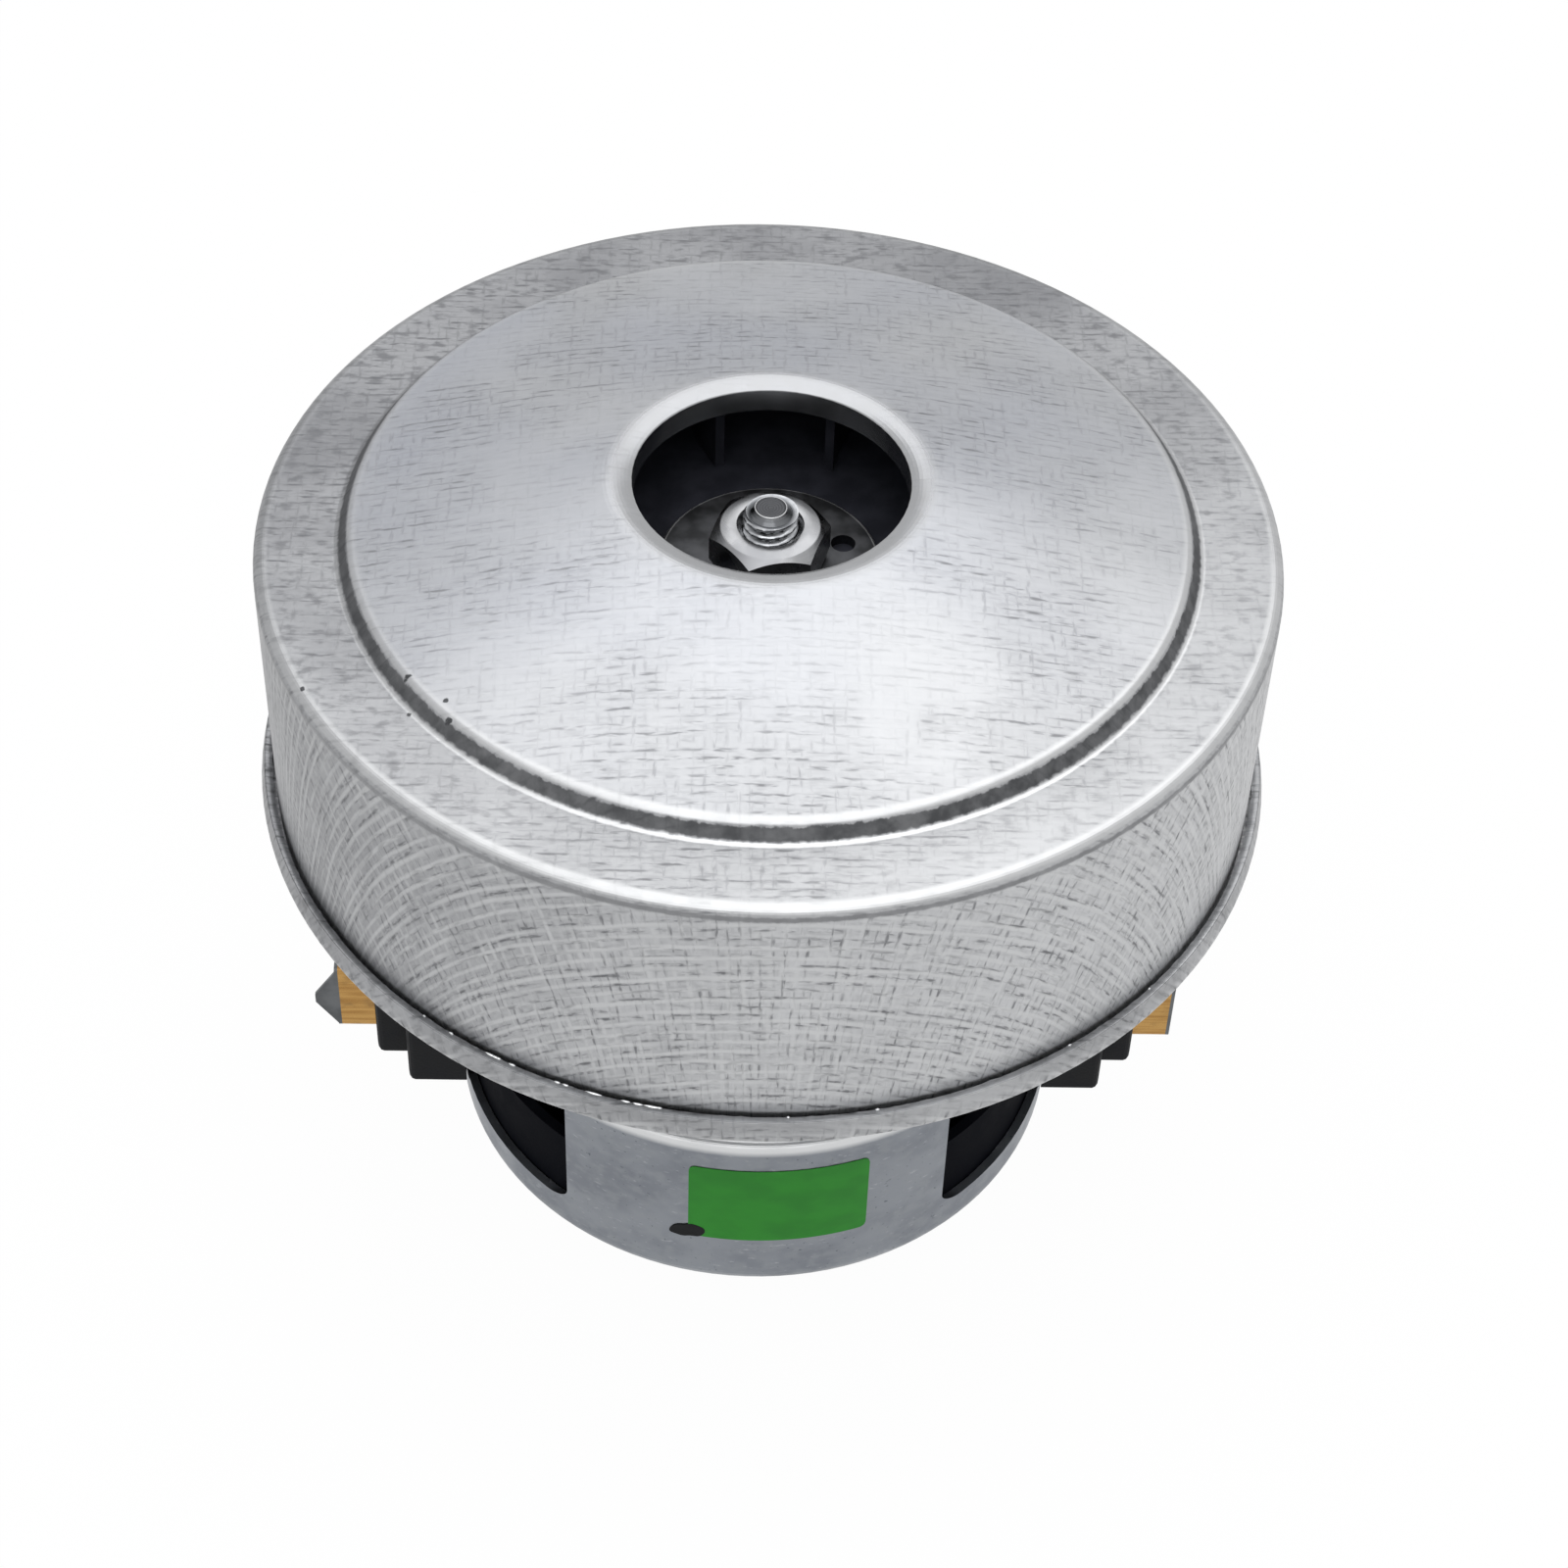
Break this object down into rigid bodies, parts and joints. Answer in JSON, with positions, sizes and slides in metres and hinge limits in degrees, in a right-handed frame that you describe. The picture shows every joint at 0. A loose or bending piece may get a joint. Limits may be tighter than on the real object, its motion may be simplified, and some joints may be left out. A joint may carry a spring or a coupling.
{
  "type": "vacuum motor unit",
  "caption": "Vacuum cleaner motor: pressed-steel fan cover with a round inlet over a drawn motor frame with side windows, brush holders, spinning rotor and sprung brushes.",
  "frame": {"origin": "middle of the rear bearing boss, on the surface that the unit stands on", "axes": "+Z along the shaft towards the inlet, X along the brush axis, -Y towards the labelled front"},
  "size_m": [0.134, 0.134, 0.1197],
  "materials": {
    "galvanised_steel": "zinc-coated pressed sheet with fine crossed rolling flecks",
    "frame_steel": "smooth bluish zinc-coated drawn sheet",
    "black_moulding": "black moulded plastic",
    "tube_brass": "dull folded brass strip",
    "terminal_steel": "dull tinned strip",
    "washer_steel": "dark phosphated steel",
    "bright_steel": "bright turned or plated steel",
    "enamelled_copper": "wound enamelled copper wire",
    "bar_copper": "turned copper",
    "phenolic": "brown moulded phenolic",
    "lamination": "stacked electrical steel sheets",
    "carbon": "pressed electrographite"
  },
  "bodies": {
    "housing": {"fan_cover": "galvanised_steel", "fan_base": "galvanised_steel", "diffuser": "black_moulding", "diffuser_screws": "bright_steel", "motor_frame": "frame_steel", "frame_screws": "bright_steel", "stator_core": "lamination", "field_bobbin_front": "black_moulding", "field_bobbin_back": "black_moulding", "field_coil_front": "enamelled_copper", "field_coil_back": "enamelled_copper", "stator_bolts": "bright_steel", "stator_spacers": "bright_steel", "stator_nuts": "bright_steel", "upper_bearing_outer": "bright_steel", "lower_bearing_outer": "bright_steel", "preload_washer": "bright_steel", "window_tray_left": "black_moulding", "window_tray_right": "black_moulding", "brush_holder_left": "black_moulding", "brush_holder_right": "black_moulding", "brush_tube_left": "tube_brass", "brush_tube_right": "tube_brass", "terminal_left": "terminal_steel", "terminal_right": "terminal_steel", "brush_spring_left": "bright_steel", "brush_spring_right": "bright_steel", "holder_screws": "bright_steel"},
    "rotor": {"shaft": "bright_steel", "armature_core": "lamination", "armature_winding": "enamelled_copper", "commutator_bars": "bar_copper", "commutator_hub": "phenolic", "upper_bearing_inner": "bright_steel", "lower_bearing_inner": "bright_steel", "spacer_sleeve": "bright_steel", "lower_washer": "washer_steel", "impeller": "black_moulding", "impeller_shroud": "black_moulding", "hub_washer": "washer_steel", "lock_nut": "bright_steel"},
    "upper_balls": {"upper_bearing_balls": "bright_steel"},
    "lower_balls": {"lower_bearing_balls": "bright_steel"},
    "brush_left": {"carbon_brush_left": "carbon"},
    "brush_right": {"carbon_brush_right": "carbon"}
  },
  "joints": [
    {"name": "rotor_spin", "type": "hinge", "parent": "housing", "child": "rotor", "pos_m": [0, 0, 0.05], "axis": [0, 0, 1], "continuous": true},
    {"name": "upper_balls_spin", "type": "hinge", "parent": "housing", "child": "upper_balls", "pos_m": [0, 0, 0.0792], "axis": [0, 0, 1], "continuous": true},
    {"name": "lower_balls_spin", "type": "hinge", "parent": "housing", "child": "lower_balls", "pos_m": [0, 0, 0.0052], "axis": [0, 0, 1], "continuous": true},
    {"name": "brush_left_slide", "type": "slide", "parent": "housing", "child": "brush_left", "axis": [-1, 0, 0], "range_m": [0, 0.006], "stiffness_N_per_m": 150, "springref_m": -0.02, "deforming": ["brush_spring_left"]},
    {"name": "brush_right_slide", "type": "slide", "parent": "housing", "child": "brush_right", "axis": [1, 0, 0], "range_m": [0, 0.006], "stiffness_N_per_m": 150, "springref_m": -0.02, "deforming": ["brush_spring_right"]}
  ],
  "couplings": [
    {"joint": "upper_balls_spin", "follows": "rotor_spin", "ratio": 0.368},
    {"joint": "lower_balls_spin", "follows": "rotor_spin", "ratio": 0.368}
  ]
}
